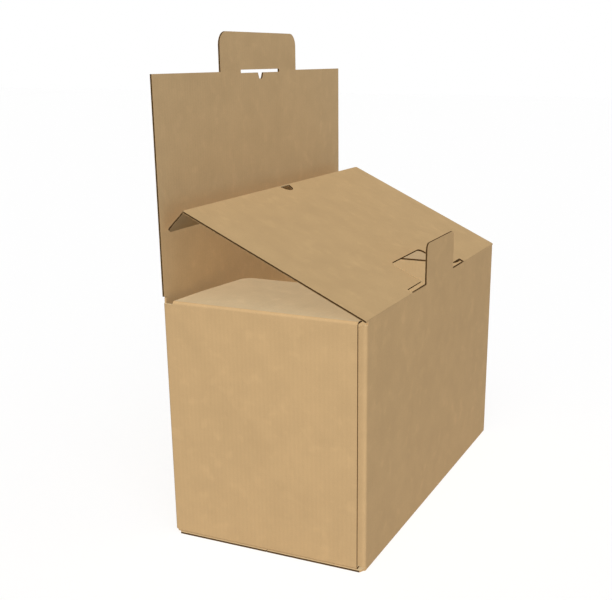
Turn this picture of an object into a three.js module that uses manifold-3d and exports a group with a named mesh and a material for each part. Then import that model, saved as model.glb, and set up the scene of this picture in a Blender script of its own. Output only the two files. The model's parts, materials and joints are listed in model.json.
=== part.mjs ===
// Cardboard carton with an inner lid, a tuck flap and a tall outer lid, folded from one sheet of
// corrugated board. Millimetres, +Z up. The origin is the middle of the footprint, on the floor.
// The front panel faces -Y, the outer lid stands on the back panel at +Y.
import * as THREE from "three";
import { mergeVertices } from "three/addons/utils/BufferGeometryUtils.js";
import Module from "manifold-3d";

const wasm = await Module();
wasm.setup();

// Board
const board = 1.5;
const foldOuterRadius = 2.25;
const foldInnerRadius = foldOuterRadius - board;
const foldSegments = 5;
const curveSegments = 10;
const weldDistance = 0.0001;

// Tube
const width = 299;
const depth = 155;
const frontHeight = 183;
const seamSetback = 6;
const glueLap = 25;
const glueFlapDrop = 3;
const glueFlapBevel = 8;

// Hinged creases: the flap turns on a bead of this radius, with this running gap to its carrier
const beadRadius = 1;
const beadGap = 0.15;
const beadSegments = 20;

// Inner lid, with the hole that its front tab leaves and the slit for the lock tab. It is as long
// as the carton is deep, less the room that its tuck flap has in front of the back panel.
const tuckBackClearance = 3.5;
const innerLidLength = depth - 2 * beadRadius - board - tuckBackClearance;
const innerLidOpening = 24.9;
const innerLidInset = 0.3;
const slitClearance = 0.5;
const slitEndClearance = 0.5;
const slitRootLift = 0.6;
const thumbNotchRadius = 8;

// Front tab, cut out of the inner lid and standing on the front panel
const frontTabWidth = 63.6;
const frontTabHeight = 31;
const frontTabCorner = 5;
const dieGap = 0.4;

// Tuck flap at the far edge of the inner lid
const tuckLength = 21.5;
const tuckInteriorAngle = 110;
const tuckCorner = 6;
const tuckWallClearance = 0.8;

// Outer lid, one lid thickness higher than the inner one, with the lock tab at its end. Its length
// brings the folded lock tab down this far behind the front panel.
const lidStackGap = 0.3;
const lockTabFrontClearance = 1.5;
const outerLidLength = depth - 2 * beadRadius - board - lockTabFrontClearance;
const lockTabWidth = 123;
const lockTabHeight = 28.6;
const lockTabCorner = 10;

// T slot on the crease of the lock tab
const tSlotLength = 63;
const tSlotWidth = 2.4;
const tNotchWidth = 9;
const tNotchTipWidth = 4.6;
const tNotchDepth = 4.8;
const tNotchCorner = 1.8;

// Dust flaps on the side panels
const dustDrop = 0.3;
const dustLength = 89;
const dustFrontInset = 6;
const dustBackInset = 8.1;
const dustShoulder = 35;
const dustShoulderInset = 2;
const dustTipInset = 9;
const dustCorner = 9;

// Bottom flaps: the short ones lie on the long ones, which meet on the centre line
const seamGap = 0.6;
const minorFlapLength = 72;
const minorFlapBevel = 5;
const majorFlapInset = 0.4;

const sideTop = frontHeight - board - dustDrop;
const innerAxis = { y: -depth / 2 + beadRadius, z: frontHeight - beadRadius };
const outerAxis = {
  y: depth / 2 - beadRadius,
  z: frontHeight + lidStackGap + board - beadRadius,
};
const cornerTop = sideTop - foldOuterRadius;
const majorTop = board;
const minorTop = 2 * board;
const cornerBottom = majorTop + foldOuterRadius;
const slitStart = innerAxis.z + slitRootLift;

// The lock tab, folded down at the front end of the closed outer lid, goes into the slit.
const slitLength = lockTabWidth + 2 * slitEndClearance;
const lockTabInnerFace = outerAxis.y - outerLidLength - beadRadius + board;
const slitFarEdge = lockTabInnerFace + slitClearance - innerAxis.y;

const kraft = new THREE.MeshStandardMaterial({
  color: new THREE.Color("#c3a073"),
  roughness: 0.9,
  metalness: 0,
});

// A closed geometry as a manifold solid
function solid(geometry) {
  const bare = geometry.clone();
  bare.deleteAttribute("normal");
  bare.deleteAttribute("uv");
  const merged = mergeVertices(bare, weldDistance);
  return new wasm.Manifold(
    new wasm.Mesh({
      numProp: 3,
      vertProperties: new Float32Array(merged.attributes.position.array),
      triVerts: new Uint32Array(merged.index.array),
    }),
  );
}

// A manifold solid as a named mesh of board
function boardMesh(name, shape) {
  const data = shape.getMesh();
  const geometry = new THREE.BufferGeometry();
  const positions = new Float32Array(data.vertProperties);
  geometry.setAttribute("position", new THREE.BufferAttribute(positions, 3));
  geometry.setIndex(new THREE.BufferAttribute(new Uint32Array(data.triVerts), 1));
  geometry.computeVertexNormals();
  const mesh = new THREE.Mesh(geometry, kraft.clone());
  mesh.name = name;
  return mesh;
}

function joined(solids) {
  return solids.reduce((sum, next) => sum.add(next));
}

// An outline extruded from one height to another, along the local Z
function extruded(outline, from, to) {
  const geometry = new THREE.ExtrudeGeometry(outline, {
    depth: to - from,
    bevelEnabled: false,
    curveSegments,
  });
  geometry.translate(0, 0, from);
  return geometry;
}

function rectangle(x0, y0, x1, y1) {
  const outline = new THREE.Shape();
  outline.moveTo(x0, y0);
  outline.lineTo(x1, y0);
  outline.lineTo(x1, y1);
  outline.lineTo(x0, y1);
  outline.closePath();
  return outline;
}

// A polygon whose corners can each have a radius: [x, y, radius]
function roundedPolygon(corners) {
  const outline = new THREE.Shape();
  const count = corners.length;
  corners.forEach(([x, y, radius = 0], i) => {
    const here = new THREE.Vector2(x, y);
    const [px, py] = corners[(i + count - 1) % count];
    const [nx, ny] = corners[(i + 1) % count];
    const back = new THREE.Vector2(px, py).sub(here).normalize();
    const on = new THREE.Vector2(nx, ny).sub(here).normalize();
    const half = Math.acos(THREE.MathUtils.clamp(back.dot(on), -1, 1)) / 2;
    const reach = radius / Math.tan(half);
    const start = here.clone().addScaledVector(back, reach);
    if (i === 0) outline.moveTo(start.x, start.y);
    else outline.lineTo(start.x, start.y);
    if (radius === 0) return;
    const middle = back.clone().add(on).normalize();
    const centre = here.clone().addScaledVector(middle, radius / Math.sin(half));
    const end = here.clone().addScaledVector(on, reach);
    const from = Math.atan2(start.y - centre.y, start.x - centre.x);
    const to = Math.atan2(end.y - centre.y, end.x - centre.x);
    const clockwise = back.cross(on) > 0;
    outline.absarc(centre.x, centre.y, radius, from, to, clockwise);
  });
  outline.closePath();
  return outline;
}

// A quarter ring of board: the section of a fold, centred on the origin, from angle to angle + 90
function foldSection(startAngle) {
  const from = THREE.MathUtils.degToRad(startAngle);
  const to = from + Math.PI / 2;
  const outline = new THREE.Shape();
  outline.absarc(0, 0, foldOuterRadius, from, to, false);
  outline.absarc(0, 0, foldInnerRadius, to, from, true);
  outline.closePath();
  return outline;
}

function foldAlongZ(x, y, startAngle, z0, z1) {
  const geometry = new THREE.ExtrudeGeometry(foldSection(startAngle), {
    depth: z1 - z0,
    bevelEnabled: false,
    curveSegments: foldSegments,
  });
  return solid(geometry.translate(x, y, z0));
}

// The section lies in Y and Z, and is swept along X
function foldAlongX(y, z, startAngle, x0, x1) {
  const geometry = new THREE.ExtrudeGeometry(foldSection(startAngle), {
    depth: x1 - x0,
    bevelEnabled: false,
    curveSegments: foldSegments,
  });
  geometry.rotateZ(Math.PI / 2).rotateY(Math.PI / 2);
  return solid(geometry.translate(x0, y, z));
}

// The section lies in X and Z, and is swept along Y
function foldAlongY(x, z, startAngle, y0, y1) {
  const geometry = new THREE.ExtrudeGeometry(foldSection(startAngle), {
    depth: y1 - y0,
    bevelEnabled: false,
    curveSegments: foldSegments,
  });
  geometry.rotateX(Math.PI / 2);
  return solid(geometry.translate(x, y1, z));
}

function boardBox(x0, x1, y0, y1, z0, z1) {
  const geometry = new THREE.BoxGeometry(x1 - x0, y1 - y0, z1 - z0);
  return solid(geometry.translate((x0 + x1) / 2, (y0 + y1) / 2, (z0 + z1) / 2));
}

// A round bar along X: the bead that a flap turns on, or with a gap added, the seat for it
function bead(radius, x0, x1, y, z) {
  const geometry = new THREE.CylinderGeometry(radius, radius, x1 - x0, beadSegments);
  geometry.rotateZ(Math.PI / 2);
  return solid(geometry.translate((x0 + x1) / 2, y, z));
}

// An outline drawn as seen from the front, X to the right and Y up, on a panel from y0 to y1
function uprightPanel(outline, y0, y1) {
  const geometry = extruded(outline, 0, y1 - y0);
  geometry.rotateX(Math.PI / 2);
  return solid(geometry.translate(0, y1, 0));
}

// The four walls with their upright folds, and the glue flap inside the left panel
function tube() {
  const right = width / 2;
  const left = -width / 2;
  const front = -depth / 2;
  const back = depth / 2;
  const r = foldOuterRadius;
  const flapFace = left + board;
  const seam = front + seamSetback;
  const wall = (x0, x1, y0, y1) => boardBox(x0, x1, y0, y1, cornerBottom, cornerTop);
  return joined([
    wall(flapFace + r, right - r, front, front + board),
    wall(right - board, right, front + r, back - r),
    wall(left + r, right - r, back - board, back),
    wall(left, left + board, seam, back - r),
    foldAlongZ(right - r, front + r, -90, cornerBottom, cornerTop),
    foldAlongZ(right - r, back - r, 0, cornerBottom, cornerTop),
    foldAlongZ(left + r, back - r, 90, cornerBottom, cornerTop),
    foldAlongZ(flapFace + r, front + r, 180, cornerBottom, cornerTop),
    glueFlap(flapFace, front + r, seam + glueLap),
  ]);
}

function glueFlap(face, y0, y1) {
  const top = cornerTop;
  const bottom = cornerBottom;
  const outline = new THREE.Shape();
  outline.moveTo(y0, bottom);
  outline.lineTo(y1, bottom + glueFlapBevel);
  outline.lineTo(y1, top - glueFlapDrop - glueFlapBevel);
  outline.lineTo(y0, top - glueFlapDrop);
  outline.closePath();
  const geometry = extruded(outline, 0, board);
  geometry.rotateX(Math.PI / 2).rotateZ(Math.PI / 2);
  return solid(geometry.translate(face, 0, 0));
}

// The front panel above the corner folds, with the edge of the slit and the tab that stands on it
function frontTop() {
  const left = -width / 2 + board + foldOuterRadius;
  const right = width / 2 - foldOuterRadius;
  const halfTab = frontTabWidth / 2;
  const halfSlit = slitLength / 2;
  const tabTop = innerAxis.z + frontTabHeight;
  const outline = roundedPolygon([
    [left, cornerTop],
    [right, cornerTop],
    [right, innerAxis.z],
    [halfSlit, innerAxis.z],
    [halfSlit, slitStart],
    [halfTab, slitStart],
    [halfTab, tabTop, frontTabCorner],
    [-halfTab, tabTop, frontTabCorner],
    [-halfTab, slitStart],
    [-halfSlit, slitStart],
    [-halfSlit, innerAxis.z],
    [left, innerAxis.z],
  ]);
  const panel = uprightPanel(outline, -depth / 2, -depth / 2 + board);
  const seatRadius = beadRadius + beadGap;
  const reach = width / 2;
  const leftSeat = bead(seatRadius, -reach, -halfSlit, innerAxis.y, innerAxis.z);
  const rightSeat = bead(seatRadius, halfSlit, reach, innerAxis.y, innerAxis.z);
  return panel.subtract(leftSeat).subtract(rightSeat);
}

// The back panel above the corner folds, up to the crease of the outer lid
function backTop() {
  const reach = width / 2 - foldOuterRadius;
  const top = outerAxis.z - beadRadius - beadGap;
  return boardBox(-reach, reach, depth / 2 - board, depth / 2, cornerTop, top);
}

// One dust flap lying flat on the carton, with its fold. Side is 1 for the right, -1 for the left.
function dustFlap(side) {
  const y0 = -depth / 2 + dustFrontInset;
  const y1 = depth / 2 - dustBackInset;
  const foldX = width / 2 - foldOuterRadius;
  const tipX = width / 2 - dustLength;
  const shoulderX = width / 2 - dustShoulder;
  const mirrored = (corners) => corners.map(([x, y, r]) => [side * x, y, r]);
  const outline = roundedPolygon(
    mirrored([
      [foldX, y0],
      [tipX, y0 + dustShoulderInset, dustCorner],
      [tipX, y1 - dustTipInset, dustCorner],
      [shoulderX, y1 - dustShoulderInset],
      [foldX, y1],
    ]),
  );
  const flap = solid(extruded(outline, sideTop - board, sideTop));
  const foldZ = sideTop - foldOuterRadius;
  const fold = foldAlongY(side * foldX, foldZ, side > 0 ? 0 : 90, y0, y1);
  return flap.add(fold);
}

// A long bottom flap from the front or the back panel. Side is -1 for the front, 1 for the back.
function majorFlap(side) {
  const left = -width / 2 + foldOuterRadius + board;
  const right = width / 2 - foldOuterRadius;
  const foldY = depth / 2 - foldOuterRadius;
  const halfFlap = width / 2 - majorFlapInset;
  const flareY = foldY - (halfFlap - right);
  const outline = roundedPolygon([
    [left, side * foldY],
    [right, side * foldY],
    [halfFlap, side * flareY],
    [halfFlap, (side * seamGap) / 2],
    [-halfFlap, (side * seamGap) / 2],
    [-halfFlap, side * flareY],
  ]);
  const startAngle = side > 0 ? 270 : 180;
  return joined([
    solid(extruded(outline, 0, majorTop)),
    foldAlongX(side * foldY, foldOuterRadius, startAngle, left, right),
    boardBox(
      left,
      right,
      Math.min(side * (depth / 2 - board), (side * depth) / 2),
      Math.max(side * (depth / 2 - board), (side * depth) / 2),
      foldOuterRadius,
      cornerBottom,
    ),
  ]);
}

// A short bottom flap from a side panel, glued on the long flaps
function minorFlap(side) {
  const y0 = -depth / 2 + seamSetback;
  const y1 = depth / 2 - foldOuterRadius;
  const foldX = width / 2 - foldOuterRadius;
  const tipX = width / 2 - minorFlapLength;
  const outline = roundedPolygon([
    [side * foldX, y0],
    [side * tipX, y0 + minorFlapBevel],
    [side * tipX, y1 - minorFlapBevel],
    [side * foldX, y1],
  ]);
  const foldZ = majorTop + foldOuterRadius;
  return joined([
    solid(extruded(outline, majorTop, minorTop)),
    foldAlongY(side * foldX, foldZ, side > 0 ? 270 : 180, y0, y1),
  ]);
}

function cartonBody() {
  return joined([
    tube(),
    frontTop(),
    backTop(),
    dustFlap(1),
    dustFlap(-1),
    majorFlap(1),
    majorFlap(-1),
    minorFlap(1),
    minorFlap(-1),
  ]);
}

// A flap lies along its own +Y, with its outer face up and its crease on its own X axis.
const flapBottom = beadRadius - board;
const flapTop = beadRadius;

function flapSheet(outline) {
  return solid(extruded(outline, flapBottom, flapTop));
}

// The end of a flap that carries the next one: cut back around the bead that turns there
function seat(length, y) {
  return bead(beadRadius + beadGap, -length, length, y, 0);
}

function innerLid() {
  const half = width / 2 - innerLidInset;
  const halfSlit = slitLength / 2;
  const halfHole = frontTabWidth / 2 + dieGap;
  const holeEnd = frontTabHeight + dieGap;
  const sheet = flapSheet(rectangle(-half, 0, half, innerLidLength));
  const slit = flapSheet(rectangle(-halfSlit, -board, halfSlit, slitFarEdge));
  const hole = flapSheet(
    roundedPolygon([
      [-halfHole, 0],
      [halfHole, 0],
      [halfHole, holeEnd, frontTabCorner],
      [-halfHole, holeEnd, frontTabCorner],
    ]),
  );
  const notchOutline = new THREE.Shape();
  notchOutline.absarc(0, innerLidLength, thumbNotchRadius, 0, 2 * Math.PI, false);
  return sheet
    .add(bead(beadRadius, -half, -halfSlit, 0, 0))
    .add(bead(beadRadius, halfSlit, half, 0, 0))
    .subtract(slit)
    .subtract(hole)
    .subtract(flapSheet(notchOutline))
    .subtract(seat(width, innerLidLength));
}

// Narrower than the lid, so that it fits between the side panels
function tuckFlap() {
  const half = width / 2 - board - tuckWallClearance;
  const outline = roundedPolygon([
    [-half, 0],
    [half, 0],
    [half, tuckLength, tuckCorner],
    [-half, tuckLength, tuckCorner],
  ]);
  return flapSheet(outline).add(bead(beadRadius, -half, half, 0, 0));
}

// Half of the T slot lies on each side of the lock tab's crease, and the notch in the outer lid.
function tSlot(creaseY) {
  const half = tSlotLength / 2;
  const slot = flapSheet(
    rectangle(-half, creaseY - tSlotWidth / 2, half, creaseY + tSlotWidth / 2),
  );
  const halfNotch = tNotchWidth / 2;
  const halfTip = tNotchTipWidth / 2;
  const notchStart = creaseY - tSlotWidth / 2;
  const notch = flapSheet(
    roundedPolygon([
      [-halfTip, notchStart - tNotchDepth, tNotchCorner],
      [halfTip, notchStart - tNotchDepth, tNotchCorner],
      [halfNotch, notchStart],
      [halfNotch, creaseY],
      [-halfNotch, creaseY],
      [-halfNotch, notchStart],
    ]),
  );
  return slot.add(notch);
}

function outerLid() {
  const half = width / 2;
  const halfTab = lockTabWidth / 2;
  const sheet = flapSheet(rectangle(-half, 0, half, outerLidLength));
  return sheet
    .add(bead(beadRadius, -half + foldOuterRadius, half - foldOuterRadius, 0, 0))
    .subtract(tSlot(outerLidLength))
    .subtract(seat(halfTab + dieGap, outerLidLength));
}

function lockTab() {
  const half = lockTabWidth / 2;
  const halfSlot = tSlotLength / 2;
  const outline = roundedPolygon([
    [-half, 0],
    [half, 0],
    [half, lockTabHeight, lockTabCorner],
    [-half, lockTabHeight, lockTabCorner],
  ]);
  return flapSheet(outline)
    .add(bead(beadRadius, -half, -halfSlot, 0, 0))
    .add(bead(beadRadius, halfSlot, half, 0, 0))
    .subtract(flapSheet(rectangle(-halfSlot, -tSlotWidth, halfSlot, tSlotWidth / 2)));
}

function pivot(y, z, degrees) {
  const group = new THREE.Group();
  group.position.set(0, y, z);
  group.rotation.x = THREE.MathUtils.degToRad(degrees);
  return group;
}

const carton = new THREE.Group();
carton.add(boardMesh("carton_body", cartonBody()));

const innerLidPivot = pivot(innerAxis.y, innerAxis.z, innerLidOpening);
innerLidPivot.add(boardMesh("inner_lid", innerLid()));
const tuckPivot = pivot(innerLidLength, 0, tuckInteriorAngle - 180);
tuckPivot.add(boardMesh("tuck_flap", tuckFlap()));
innerLidPivot.add(tuckPivot);
carton.add(innerLidPivot);

// The outer lid is hinged at the back, so its frame is turned half round, and it stands upright.
const outerLidFacing = new THREE.Group();
outerLidFacing.position.set(0, outerAxis.y, outerAxis.z);
outerLidFacing.rotation.z = Math.PI;
const outerLidPivot = pivot(0, 0, 90);
outerLidPivot.add(boardMesh("outer_lid", outerLid()));
const lockTabPivot = pivot(outerLidLength, 0, 0);
lockTabPivot.add(boardMesh("lock_tab", lockTab()));
outerLidPivot.add(lockTabPivot);
outerLidFacing.add(outerLidPivot);
carton.add(outerLidFacing);

export default carton;
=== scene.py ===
import json
import math
from typing import NamedTuple

import bmesh
import bpy
from mathutils import Matrix, Vector


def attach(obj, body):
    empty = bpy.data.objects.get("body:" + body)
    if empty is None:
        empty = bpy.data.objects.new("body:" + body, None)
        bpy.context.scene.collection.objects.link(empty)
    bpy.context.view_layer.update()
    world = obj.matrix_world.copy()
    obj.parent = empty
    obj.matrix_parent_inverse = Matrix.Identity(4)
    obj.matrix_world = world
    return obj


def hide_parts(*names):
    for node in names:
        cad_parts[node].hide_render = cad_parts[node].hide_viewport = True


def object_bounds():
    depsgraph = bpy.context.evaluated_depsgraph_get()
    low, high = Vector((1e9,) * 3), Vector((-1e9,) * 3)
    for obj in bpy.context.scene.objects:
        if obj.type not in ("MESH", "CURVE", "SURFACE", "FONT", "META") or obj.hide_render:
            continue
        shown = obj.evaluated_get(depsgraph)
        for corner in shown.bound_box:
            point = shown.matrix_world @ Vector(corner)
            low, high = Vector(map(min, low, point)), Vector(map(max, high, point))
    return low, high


# Looks of the cardboard carton: each board of the CAD frame gets kraft liners, fluted cut edges
# and closed creases.

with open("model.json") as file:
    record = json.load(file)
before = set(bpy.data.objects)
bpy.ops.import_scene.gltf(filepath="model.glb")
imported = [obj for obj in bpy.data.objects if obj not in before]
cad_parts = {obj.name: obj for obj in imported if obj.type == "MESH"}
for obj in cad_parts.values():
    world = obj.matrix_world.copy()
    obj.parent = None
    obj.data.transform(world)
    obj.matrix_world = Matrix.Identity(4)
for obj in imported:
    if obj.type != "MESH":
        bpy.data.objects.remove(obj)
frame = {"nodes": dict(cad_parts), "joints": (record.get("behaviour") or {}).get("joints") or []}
cad_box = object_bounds()
joints = {j["name"]: Vector(j["pos_m"]) for j in frame["joints"]}

MM = 0.001

# Board, folds and creases
BOARD = 1.5 * MM
FOLD_RADIUS = 2.25 * MM
FLUTE_PITCH = 3.3 * MM
BEAD_RADIUS = 1.0 * MM
BEAD_SIDES = 20
SEAT_RADIUS = 1.15 * MM
SEAT_MARGIN = 0.002 * MM
CREASE_LINE = 0.1 * MM
CREASE_DEPTH = 0.003 * MM
LID_CREASE_RISE = 0.8 * MM
TUCK_BEND = math.radians(70)

# Carton faces
HALF_WIDTH, HALF_DEPTH, _ = cad_box[1]
DUST_TOP = joints["inner_lid_crease"].z - LID_CREASE_RISE
CORNER_TOP = DUST_TOP - FOLD_RADIUS
MINOR_TOP = 2 * BOARD
GLUE_FLAP_FACE = -HALF_WIDTH + 2 * BOARD
GLUE_FLAP_DROP = 3 * MM
GLUE_FLAP_START = Vector((0, -HALF_DEPTH + FOLD_RADIUS, CORNER_TOP - GLUE_FLAP_DROP))

# Sorting of faces: how near counts as the same place, how far folds reach in from the outside,
# and limits for one part of a face's unit normal, from nearly all of it to nearly nothing
NEAR = 0.02 * MM
WELD = 0.001 * MM
FOLD_SLACK = 0.05 * MM
FOLD_REACH = FOLD_RADIUS + BOARD + FOLD_SLACK
SQUARE = 0.995
FLAT = 0.99
ON_SHEET = 0.9
LEVEL = 0.7
SLANTED = 0.5
ASIDE = 0.05
SHARP_ANGLE = math.radians(32)

# Camera: fitted to the edges of the carton in the photograph
PHOTO_WIDTH = 612
FOCAL_PX = 981.44
SENSOR = 36
CAMERA_PLACE = (-0.7128, -0.3115, 0.3461)
CAMERA_AZIMUTH = math.radians(-66.2)
CAMERA_ELEVATION = math.radians(17.65)
CAMERA_SHIFT = (-0.0645, 0.109)
CLIP_START = 0.01

# Light: how brightly each lights a white face that it meets square on
SKY_LIGHT = 0.20
KEY_LIGHT = 0.10
FILL_LIGHT = 0.94
LIGHT_FROM = (-0.62, -0.32, 0.77)
SUN_ANGLE = math.radians(55)
FLOOR_TONE = 0.6
FLOOR_GLOW = 0.41
FLOOR_REACH = 8

# Colours, as linear light
LINER_TONE = (0.560, 0.372, 0.183)
# Painted shade: the lid and the tuck flap are the outer liner, drawn darker.
LID_PAINTED_SHADE_TONE = (0.474, 0.320, 0.158)
# Painted light: the dust flaps' tops are the outer liner, drawn paler.
DUST_PAINTED_LIGHT_TONE = (0.590, 0.455, 0.273)
# Painted light: the inner liner, drawn a little paler than the outer one to lighten the shade behind the
# lid.
INSIDE_PAINTED_LIGHT_TONE = (0.575, 0.400, 0.210)
# Painted light: the carton's inner walls, drawn much paler to lighten the shade inside the carton.
HOLLOW_PAINTED_LIGHT_TONE = (0.645, 0.508, 0.300)
# Painted shade: the undersides of the lid and the tuck flap, drawn darker.
UNDERSIDE_PAINTED_SHADE_TONE = (0.370, 0.275, 0.160)
FLUTE_TONE = (0.140, 0.080, 0.032)
# Painted shade: the near-black of the hollows between the flutes.
CAVITY_PAINTED_SHADE_TONE = (0.045, 0.022, 0.006)
CUT_LINER_SHARE = 0.6


class Pattern(NamedTuple):
    """A noise, whose values from low to high become the factors from at_low to at_high."""

    scale: float
    detail: float
    low: float
    high: float
    at_low: float
    at_high: float
    roughness: float = 0.5


# Liner surface
MOTTLE = Pattern(55, 4, 0.3, 0.7, 0.965, 1.03)
CLOUD = Pattern(11, 2, 0.3, 0.7, 0.985, 1.015)
FIBRE = Pattern(1900, 2, 0.25, 0.75, 0.93, 1.06, roughness=0.6)
FLECK = Pattern(95, 1, 0.58, 0.80, 1.0, 1.07)
# Painted shade and light along the ribs: darker over the troughs, lighter over the crests.
RIB_PAINTED_SHADE_RANGE = (0.992, 1.008)
RIB_HEIGHT = 0.012 * MM
FIBRE_HEIGHT = 0.05 * MM
MOTTLE_HEIGHT = 0.25 * MM
LINER_FINISH = {"Roughness": 0.88, "Specular IOR Level": 0.25}

# Cut edge, as shares of the board's thickness: its waver, the swing and the half thickness of the
# fluted paper, and where the liners start, counted from the middle
MIDDLE = 0.5
WAVER = Pattern(420, 2, 0.3, 0.7, -0.07, 0.07)
FLUTE_SWING = 0.24
FLUTE_HALF = (0.09, 0.15)
LINER_START = (0.31, 0.35)
GRAIN = Pattern(1500, 2, 0.3, 0.7, 0.85, 1.12)
CUT_HEIGHT = 0.25 * MM
CUT_FINISH = {"Roughness": 0.95, "Specular IOR Level": 0.05}


# Materials

# The colour sockets of a mix node, which share their names with its other sockets
MIX_A, MIX_B, MIX_RESULT = 6, 7, 2


class Nodes:
    """A material's node tree, with short ways to add and link nodes."""

    def __init__(self, name):
        self.material = bpy.data.materials.new(name)
        self.material.use_nodes = True
        self.tree = self.material.node_tree
        self.tree.nodes.clear()

    def add(self, kind, **settings):
        node = self.tree.nodes.new(kind)
        for key, value in settings.items():
            setattr(node, key, value)
        return node

    def link(self, source, target):
        self.tree.links.new(source, target)

    def places(self):
        """The place in space, and on the sheet the way across the flutes and the other way."""
        sheet = self.add("ShaderNodeUVMap", uv_map="board").outputs["UV"]
        split = self.add("ShaderNodeSeparateXYZ")
        self.link(sheet, split.inputs[0])
        place = self.add("ShaderNodeTexCoord").outputs["Object"]
        return place, split.outputs["X"], split.outputs["Y"]

    def math(self, operation, a, b=0.0):
        node = self.add("ShaderNodeMath", operation=operation)
        for socket, value in zip(node.inputs, (a, b)):
            if isinstance(value, (int, float)):
                socket.default_value = value
            else:
                self.link(value, socket)
        return node.outputs[0]

    def spread(self, value, low, high, at_low, at_high):
        """Values from low to high become at_low to at_high, and stay within them."""
        node = self.add("ShaderNodeMapRange")
        self.link(value, node.inputs["Value"])
        limits = ("From Min", "From Max", "To Min", "To Max")
        for name, number in zip(limits, (low, high, at_low, at_high)):
            node.inputs[name].default_value = number
        return node.outputs["Result"]

    def pattern(self, place, pattern):
        """The pattern's noise, and the factor that it becomes."""
        node = self.add("ShaderNodeTexNoise")
        node.inputs["Scale"].default_value = pattern.scale
        node.inputs["Detail"].default_value = pattern.detail
        node.inputs["Roughness"].default_value = pattern.roughness
        self.link(place, node.inputs["Vector"])
        noise = node.outputs["Fac"]
        return noise, self.spread(noise, pattern.low, pattern.high, pattern.at_low, pattern.at_high)

    def scaled(self, colour, factor):
        node = self.add("ShaderNodeVectorMath", operation="SCALE")
        if isinstance(colour, tuple):
            node.inputs[0].default_value = colour
        else:
            self.link(colour, node.inputs[0])
        self.link(factor, node.inputs["Scale"])
        return node.outputs[0]

    def mixed(self, factor, a, b):
        node = self.add("ShaderNodeMix", data_type="RGBA")
        self.link(factor, node.inputs["Factor"])
        for socket, value in ((node.inputs[MIX_A], a), (node.inputs[MIX_B], b)):
            if isinstance(value, tuple):
                socket.default_value = (*value, 1)
            else:
                self.link(value, socket)
        return node.outputs[MIX_RESULT]

    def bump(self, height, distance, below=None):
        node = self.add("ShaderNodeBump")
        node.inputs["Strength"].default_value = 1.0
        node.inputs["Distance"].default_value = distance
        self.link(height, node.inputs["Height"])
        if below is not None:
            self.link(below, node.inputs["Normal"])
        return node.outputs["Normal"]

    def finish(self, colour, normal, settings):
        shader = self.add("ShaderNodeBsdfPrincipled")
        for name, value in settings.items():
            shader.inputs[name].default_value = value
        self.link(colour, shader.inputs["Base Color"])
        self.link(normal, shader.inputs["Normal"])
        output = self.add("ShaderNodeOutputMaterial")
        self.link(shader.outputs[0], output.inputs["Surface"])
        return self.material


def flute_wave(nodes, across):
    """The height of the fluted layer under the liner, -1 to 1."""
    turns = nodes.math("MULTIPLY", across, 2 * math.pi / FLUTE_PITCH)
    return nodes.math("SINE", turns)


def liner_material(name, tone):
    """Kraft liner: mottled, with fibres and the faint ribs of the flutes below it, and painted shade and
    light along the ribs.
    """
    nodes = Nodes(name)
    place, across, _ = nodes.places()
    ribs = flute_wave(nodes, across)
    mottle, tint = nodes.pattern(place, MOTTLE)
    _, cloud_tint = nodes.pattern(place, CLOUD)
    fibre, fibre_tint = nodes.pattern(place, FIBRE)
    _, fleck_tint = nodes.pattern(place, FLECK)
    # The ribs' tint is painted shade in the troughs and painted light on the crests.
    rib_painted_shade = nodes.spread(ribs, -1, 1, *RIB_PAINTED_SHADE_RANGE)
    for other in (cloud_tint, fibre_tint, fleck_tint, rib_painted_shade):
        tint = nodes.math("MULTIPLY", tint, other)
    normal = nodes.bump(ribs, RIB_HEIGHT)
    normal = nodes.bump(fibre, FIBRE_HEIGHT, below=normal)
    normal = nodes.bump(mottle, MOTTLE_HEIGHT, below=normal)
    return nodes.finish(nodes.scaled(tone, tint), normal, LINER_FINISH)


def edge_material():
    """A cut edge: two liners with the fluted layer between them, and painted shade in its hollows."""
    nodes = Nodes("cut_edge")
    place, across, level = nodes.places()
    _, waver = nodes.pattern(place, WAVER)
    level = nodes.math("ADD", level, waver)
    wave = nodes.math("MULTIPLY", flute_wave(nodes, across), FLUTE_SWING)
    off_flute = nodes.math("SUBTRACT", level, nodes.math("ADD", wave, MIDDLE))
    flute = nodes.spread(nodes.math("ABSOLUTE", off_flute), *FLUTE_HALF, 1.0, 0.0)
    off_middle = nodes.math("SUBTRACT", level, MIDDLE)
    liner = nodes.spread(nodes.math("ABSOLUTE", off_middle), *LINER_START, 0.0, 1.0)
    # The flute's hollows are painted shade.
    inner = nodes.mixed(flute, CAVITY_PAINTED_SHADE_TONE, FLUTE_TONE)
    colour = nodes.mixed(liner, inner, tuple(CUT_LINER_SHARE * part for part in LINER_TONE))
    _, grain = nodes.pattern(place, GRAIN)
    normal = nodes.bump(nodes.math("MAXIMUM", flute, liner), CUT_HEIGHT)
    return nodes.finish(nodes.scaled(colour, grain), normal, CUT_FINISH)


# Boards

OUTER, INSIDE, CUT, DUST, BACK_WALL = 0, 1, 2, 3, 4


def welded_copy(node):
    """The node's mesh with its split vertices joined, as a bmesh."""
    mesh = bmesh.new()
    mesh.from_mesh(frame["nodes"][node].data)
    bmesh.ops.remove_doubles(mesh, verts=mesh.verts, dist=WELD)
    return mesh


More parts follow.
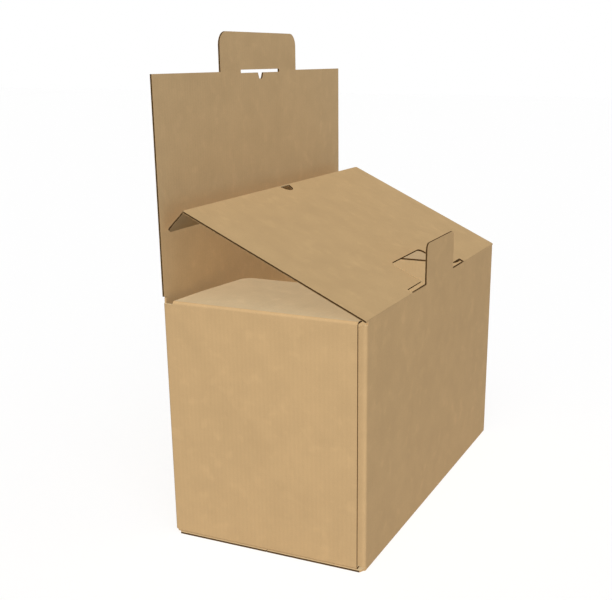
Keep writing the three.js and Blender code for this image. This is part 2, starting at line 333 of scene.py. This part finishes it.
def close_seat(mesh, axis, along, normal):
    """The bending board leaves no gap at a crease, so the seat comes up to the bead."""
    tight = BEAD_RADIUS / math.cos(math.pi / BEAD_SIDES) + SEAT_MARGIN
    inner_face = BEAD_RADIUS - BOARD
    for vertex in mesh.verts:
        arm = Vector((0, vertex.co.y - axis.y, vertex.co.z - axis.z))
        if abs(arm.length - SEAT_RADIUS) > NEAR:
            continue
        height = arm.dot(normal)
        if abs(height - BEAD_RADIUS) < NEAR:
            moved = normal * BEAD_RADIUS
        elif abs(height - inner_face) < NEAR:
            moved = normal * inner_face - along * CREASE_LINE
        else:
            moved = arm.normalized() * tight
        vertex.co.y = axis.y + moved.y
        vertex.co.z = axis.z + moved.z


def flatten_bead(mesh, axis, normal):
    """On its inner side the crease lies level with the sheet."""
    level = BEAD_RADIUS - BOARD + CREASE_DEPTH
    for vertex in mesh.verts:
        arm = Vector((0, vertex.co.y - axis.y, vertex.co.z - axis.z))
        height = arm.dot(normal)
        if arm.length < BEAD_RADIUS + NEAR and height < level - NEAR:
            vertex.co += normal * (level - height)


def board_piece(node, body, mesh, sort_face, outer, inside):
    """An object that stands for the node: sort_face gives a face's material and place on the sheet."""
    layer = mesh.loops.layers.uv.new("board")
    mesh.normal_update()
    for face in mesh.faces:
        face.smooth = True
        face.material_index, place = sort_face(face)
        for loop in face.loops:
            loop[layer].uv = place(loop.vert.co)
    data = bpy.data.meshes.new(f"{node}_board")
    mesh.to_mesh(data)
    mesh.free()
    for name in ("custom_normal", "UVMap"):
        if name in data.attributes:
            data.attributes.remove(data.attributes[name])
    data.set_sharp_from_angle(angle=SHARP_ANGLE)
    for material in (outer, inside, cut_edge, dust_painted_light_liner, inside_painted_light_liner):
        data.materials.append(material)
    piece = bpy.data.objects.new(f"{node}_board", data)
    bpy.context.scene.collection.objects.link(piece)
    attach(piece, body)
    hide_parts(node)


def flap_piece(name, axis, along, normal, outer, inside, seats=()):
    """A flap whose sheet runs from its crease along one direction, with its outer face to the normal."""
    mesh = welded_copy(name)
    flatten_bead(mesh, axis, normal)
    for seat_axis in seats:
        close_seat(mesh, seat_axis, along, normal)
    creases = (axis, *seats)

    def near_crease(point):
        return any(math.hypot(point.y - c.y, point.z - c.z) < SEAT_RADIUS + NEAR for c in creases)

    def sort_face(face):
        facing = face.normal.dot(normal)
        crease = near_crease(face.calc_center_median()) and abs(face.normal.x) < SLANTED
        if abs(facing) > ON_SHEET or crease:
            return (OUTER if facing > 0 else INSIDE), lambda p: (p.x, (p - axis).dot(along))
        return CUT, lambda p: (p.x, ((p - axis).dot(normal) + BOARD - BEAD_RADIUS) / BOARD)

    board_piece(name, name, mesh, sort_face, outer, inside)


def is_at(value, *places):
    return any(abs(value - place) < NEAR for place in places)


def in_fold(x, y, z, normal):
    """Whether a face belongs to an upright fold, a dust flap's fold or a bottom flap's fold."""
    at_side = abs(x) > HALF_WIDTH - FOLD_REACH
    at_end = abs(y) > HALF_DEPTH - FOLD_REACH
    runs_along_x, runs_along_y = abs(normal.x) < ASIDE, abs(normal.y) < ASIDE
    if at_side and at_end and abs(normal.z) < ASIDE:
        return True
    if at_side and runs_along_y and DUST_TOP - FOLD_REACH < z < DUST_TOP + NEAR:
        return True
    if z >= FOLD_REACH + BOARD:
        return False
    return at_side and runs_along_y and abs(normal.x) < SQUARE or at_end and runs_along_x


def body_face(face):
    """The material of a face of the carton's walls, fold by fold, and its place on the sheet."""
    normal = face.normal
    x, y, z = face.calc_center_median()
    level = abs(normal.z) > LEVEL
    within = abs(x) < HALF_WIDTH - BOARD and abs(y) < HALF_DEPTH - BOARD
    on_dust_flap = within and z > DUST_TOP - 2 * BOARD
    if level and on_dust_flap and is_at(z, DUST_TOP, DUST_TOP - BOARD):
        return (DUST if normal.z > 0 else INSIDE), lambda p: (p.y, p.x)
    if level and z < MINOR_TOP + NEAR:
        across = (lambda p: (p.x, p.y)) if z < BOARD / 2 else (lambda p: (p.y, p.x))
        return (OUTER if normal.z < 0 else INSIDE), across
    if normal.y < -FLAT and is_at(y, HALF_DEPTH - BOARD):
        return BACK_WALL, lambda p: (p.x, p.z)
    on_side = is_at(abs(x), HALF_WIDTH, HALF_WIDTH - BOARD) or is_at(x, GLUE_FLAP_FACE)
    on_end = is_at(abs(y), HALF_DEPTH, HALF_DEPTH - BOARD)
    flat = on_side and abs(normal.x) > FLAT or on_end and abs(normal.y) > FLAT
    if flat or in_fold(x, y, z, normal):
        if abs(normal.x) > abs(normal.y):
            return (OUTER if normal.x * x > 0 else INSIDE), lambda p: (p.y, p.z)
        return (OUTER if normal.y * y > 0 else INSIDE), lambda p: (p.x, p.z)
    if on_dust_flap:
        return CUT, lambda p: (p.y, (p.z - DUST_TOP + BOARD) / BOARD)
    if abs(y) > HALF_DEPTH - BOARD - NEAR:
        return CUT, lambda p: (p.x, (abs(p.y) - HALF_DEPTH + BOARD) / BOARD)
    if z < MINOR_TOP:
        flap_floor = 0 if z < BOARD else BOARD
        return CUT, lambda p: (p.x + p.y, (p.z - flap_floor) / BOARD)
    if x < -HALF_WIDTH + BOARD + NEAR or x > 0:
        return CUT, lambda p: (p.y, (abs(p.x) - HALF_WIDTH + BOARD) / BOARD)
    # The glue flap's edges are pressed flat, so they look like its liner.
    return OUTER, lambda p: (p.y, p.z)


def raise_glue_flap(mesh):
    """The strip of the glue flap that shows beside the seam reaches up to the end of its fold."""
    for vertex in mesh.verts:
        arm = vertex.co - GLUE_FLAP_START
        if vertex.co.x < GLUE_FLAP_FACE + NEAR and math.hypot(arm.y, arm.z) < NEAR:
            vertex.co.z = CORNER_TOP
    bmesh.ops.remove_doubles(mesh, verts=mesh.verts, dist=WELD)
    bmesh.ops.dissolve_degenerate(mesh, edges=mesh.edges, dist=WELD)


def close_back_seat(mesh, axis):
    """The back panel's top comes up to the outer lid's crease on the inside."""
    for vertex in mesh.verts:
        if is_at(vertex.co.z, axis.z - SEAT_RADIUS) and vertex.co.y < axis.y:
            vertex.co.z = axis.z - CREASE_LINE


def carton_piece():
    mesh = welded_copy("carton_body")
    raise_glue_flap(mesh)
    up, front = Vector((0, 0, 1)), Vector((0, -1, 0))
    close_seat(mesh, joints["inner_lid_crease"], up, front)
    close_back_seat(mesh, joints["outer_lid_crease"])
    board_piece("carton_body", "carton", mesh, body_face, outer_liner, hollow_painted_light_liner)


def turned(along, angle):
    """A direction in the plane of Y and Z, turned about X by an angle."""
    return Matrix.Rotation(angle, 3, "X") @ along


def make_boards():
    lid_axis, tuck_axis = joints["inner_lid_crease"], joints["tuck_crease"]
    outer_axis, tab_axis = joints["outer_lid_crease"], joints["lock_tab_crease"]
    quarter = math.pi / 2
    along_lid = (tuck_axis - lid_axis).normalized()
    along_tuck = turned(along_lid, -TUCK_BEND)
    up, back = Vector((0, 0, 1)), Vector((0, 1, 0))
    carton_piece()
    lid_normal, tuck_normal = turned(along_lid, quarter), turned(along_tuck, quarter)
    flap_piece("inner_lid", lid_axis, along_lid, lid_normal, lid_painted_shade_liner, underside_painted_shade_liner, [tuck_axis])
    flap_piece("tuck_flap", tuck_axis, along_tuck, tuck_normal, lid_painted_shade_liner, underside_painted_shade_liner)
    flap_piece("outer_lid", outer_axis, up, back, outer_liner, inside_painted_light_liner, [tab_axis])
    flap_piece("lock_tab", tab_axis, up, back, outer_liner, inside_painted_light_liner)


# Studio


def floor_material():
    """A pale floor, with a glow that only the camera sees."""
    nodes = Nodes("floor")
    shader = nodes.add("ShaderNodeBsdfDiffuse")
    shader.inputs["Color"].default_value = (FLOOR_TONE, FLOOR_TONE, FLOOR_TONE, 1)
    glow = nodes.add("ShaderNodeEmission")
    nodes.link(nodes.add("ShaderNodeLightPath").outputs["Is Camera Ray"], glow.inputs["Strength"])
    glow.inputs["Color"].default_value = (FLOOR_GLOW, FLOOR_GLOW, FLOOR_GLOW, 1)
    both = nodes.add("ShaderNodeAddShader")
    nodes.link(shader.outputs[0], both.inputs[0])
    nodes.link(glow.outputs[0], both.inputs[1])
    output = nodes.add("ShaderNodeOutputMaterial")
    nodes.link(both.outputs[0], output.inputs["Surface"])
    return nodes.material


def make_floor():
    reach = FLOOR_REACH
    corners = [(-reach, -reach, 0), (reach, -reach, 0), (reach, reach, 0), (-reach, reach, 0)]
    data = bpy.data.meshes.new("floor")
    data.from_pydata(corners, [], [(0, 1, 2, 3)])
    data.materials.append(floor_material())
    floor = bpy.data.objects.new("floor", data)
    bpy.context.scene.collection.objects.link(floor)


def make_sky():
    """A white sky to the camera, and a weak one to everything else."""
    world = bpy.data.worlds.new("studio")
    bpy.context.scene.world = world
    world.use_nodes = True
    tree = world.node_tree
    tree.nodes.clear()
    path = tree.nodes.new("ShaderNodeLightPath")
    strength = tree.nodes.new("ShaderNodeMapRange")
    strength.inputs["To Min"].default_value = SKY_LIGHT
    strength.inputs["To Max"].default_value = 1.0
    tree.links.new(path.outputs["Is Camera Ray"], strength.inputs["Value"])
    background = tree.nodes.new("ShaderNodeBackground")
    background.inputs["Color"].default_value = (1, 1, 1, 1)
    tree.links.new(strength.outputs["Result"], background.inputs["Strength"])
    output = tree.nodes.new("ShaderNodeOutputWorld")
    tree.links.new(background.outputs[0], output.inputs["Surface"])


def make_sun(name, light, shadow):
    sun = bpy.data.lights.new(name, "SUN")
    sun.energy = math.pi * light
    sun.angle = SUN_ANGLE
    sun.use_shadow = shadow
    lamp = bpy.data.objects.new(name, sun)
    lamp.rotation_mode = "QUATERNION"
    lamp.rotation_quaternion = Vector(LIGHT_FROM).to_track_quat("Z", "Y")
    bpy.context.scene.collection.objects.link(lamp)


def make_camera():
    azimuth, elevation = CAMERA_AZIMUTH, CAMERA_ELEVATION
    level_back = Vector((math.sin(azimuth), -math.cos(azimuth), 0))
    back = level_back * math.cos(elevation) + Vector((0, 0, math.sin(elevation)))
    right = Vector((math.cos(azimuth), math.sin(azimuth), 0))
    turn = Matrix((right, back.cross(right), back)).transposed()
    data = bpy.data.cameras.new("camera")
    data.sensor_width = SENSOR
    data.lens = FOCAL_PX * SENSOR / PHOTO_WIDTH
    data.shift_x, data.shift_y = CAMERA_SHIFT
    data.clip_start = CLIP_START
    camera = bpy.data.objects.new("camera", data)
    camera.matrix_world = Matrix.Translation(CAMERA_PLACE) @ turn.to_4x4()
    bpy.context.scene.collection.objects.link(camera)
    bpy.context.scene.camera = camera


outer_liner = liner_material("kraft_outer", LINER_TONE)
lid_painted_shade_liner = liner_material("kraft_lid_painted_shade", LID_PAINTED_SHADE_TONE)
dust_painted_light_liner = liner_material("kraft_dust_flap_painted_light", DUST_PAINTED_LIGHT_TONE)
inside_painted_light_liner = liner_material("kraft_inside_painted_light", INSIDE_PAINTED_LIGHT_TONE)
hollow_painted_light_liner = liner_material("kraft_hollow_painted_light", HOLLOW_PAINTED_LIGHT_TONE)
underside_painted_shade_liner = liner_material("kraft_underside_painted_shade", UNDERSIDE_PAINTED_SHADE_TONE)
cut_edge = edge_material()
make_boards()
make_floor()
make_sky()
make_sun("key", KEY_LIGHT, True)
make_sun("fill", FILL_LIGHT, False)
make_camera()
bpy.context.scene.view_settings.view_transform = "Standard"
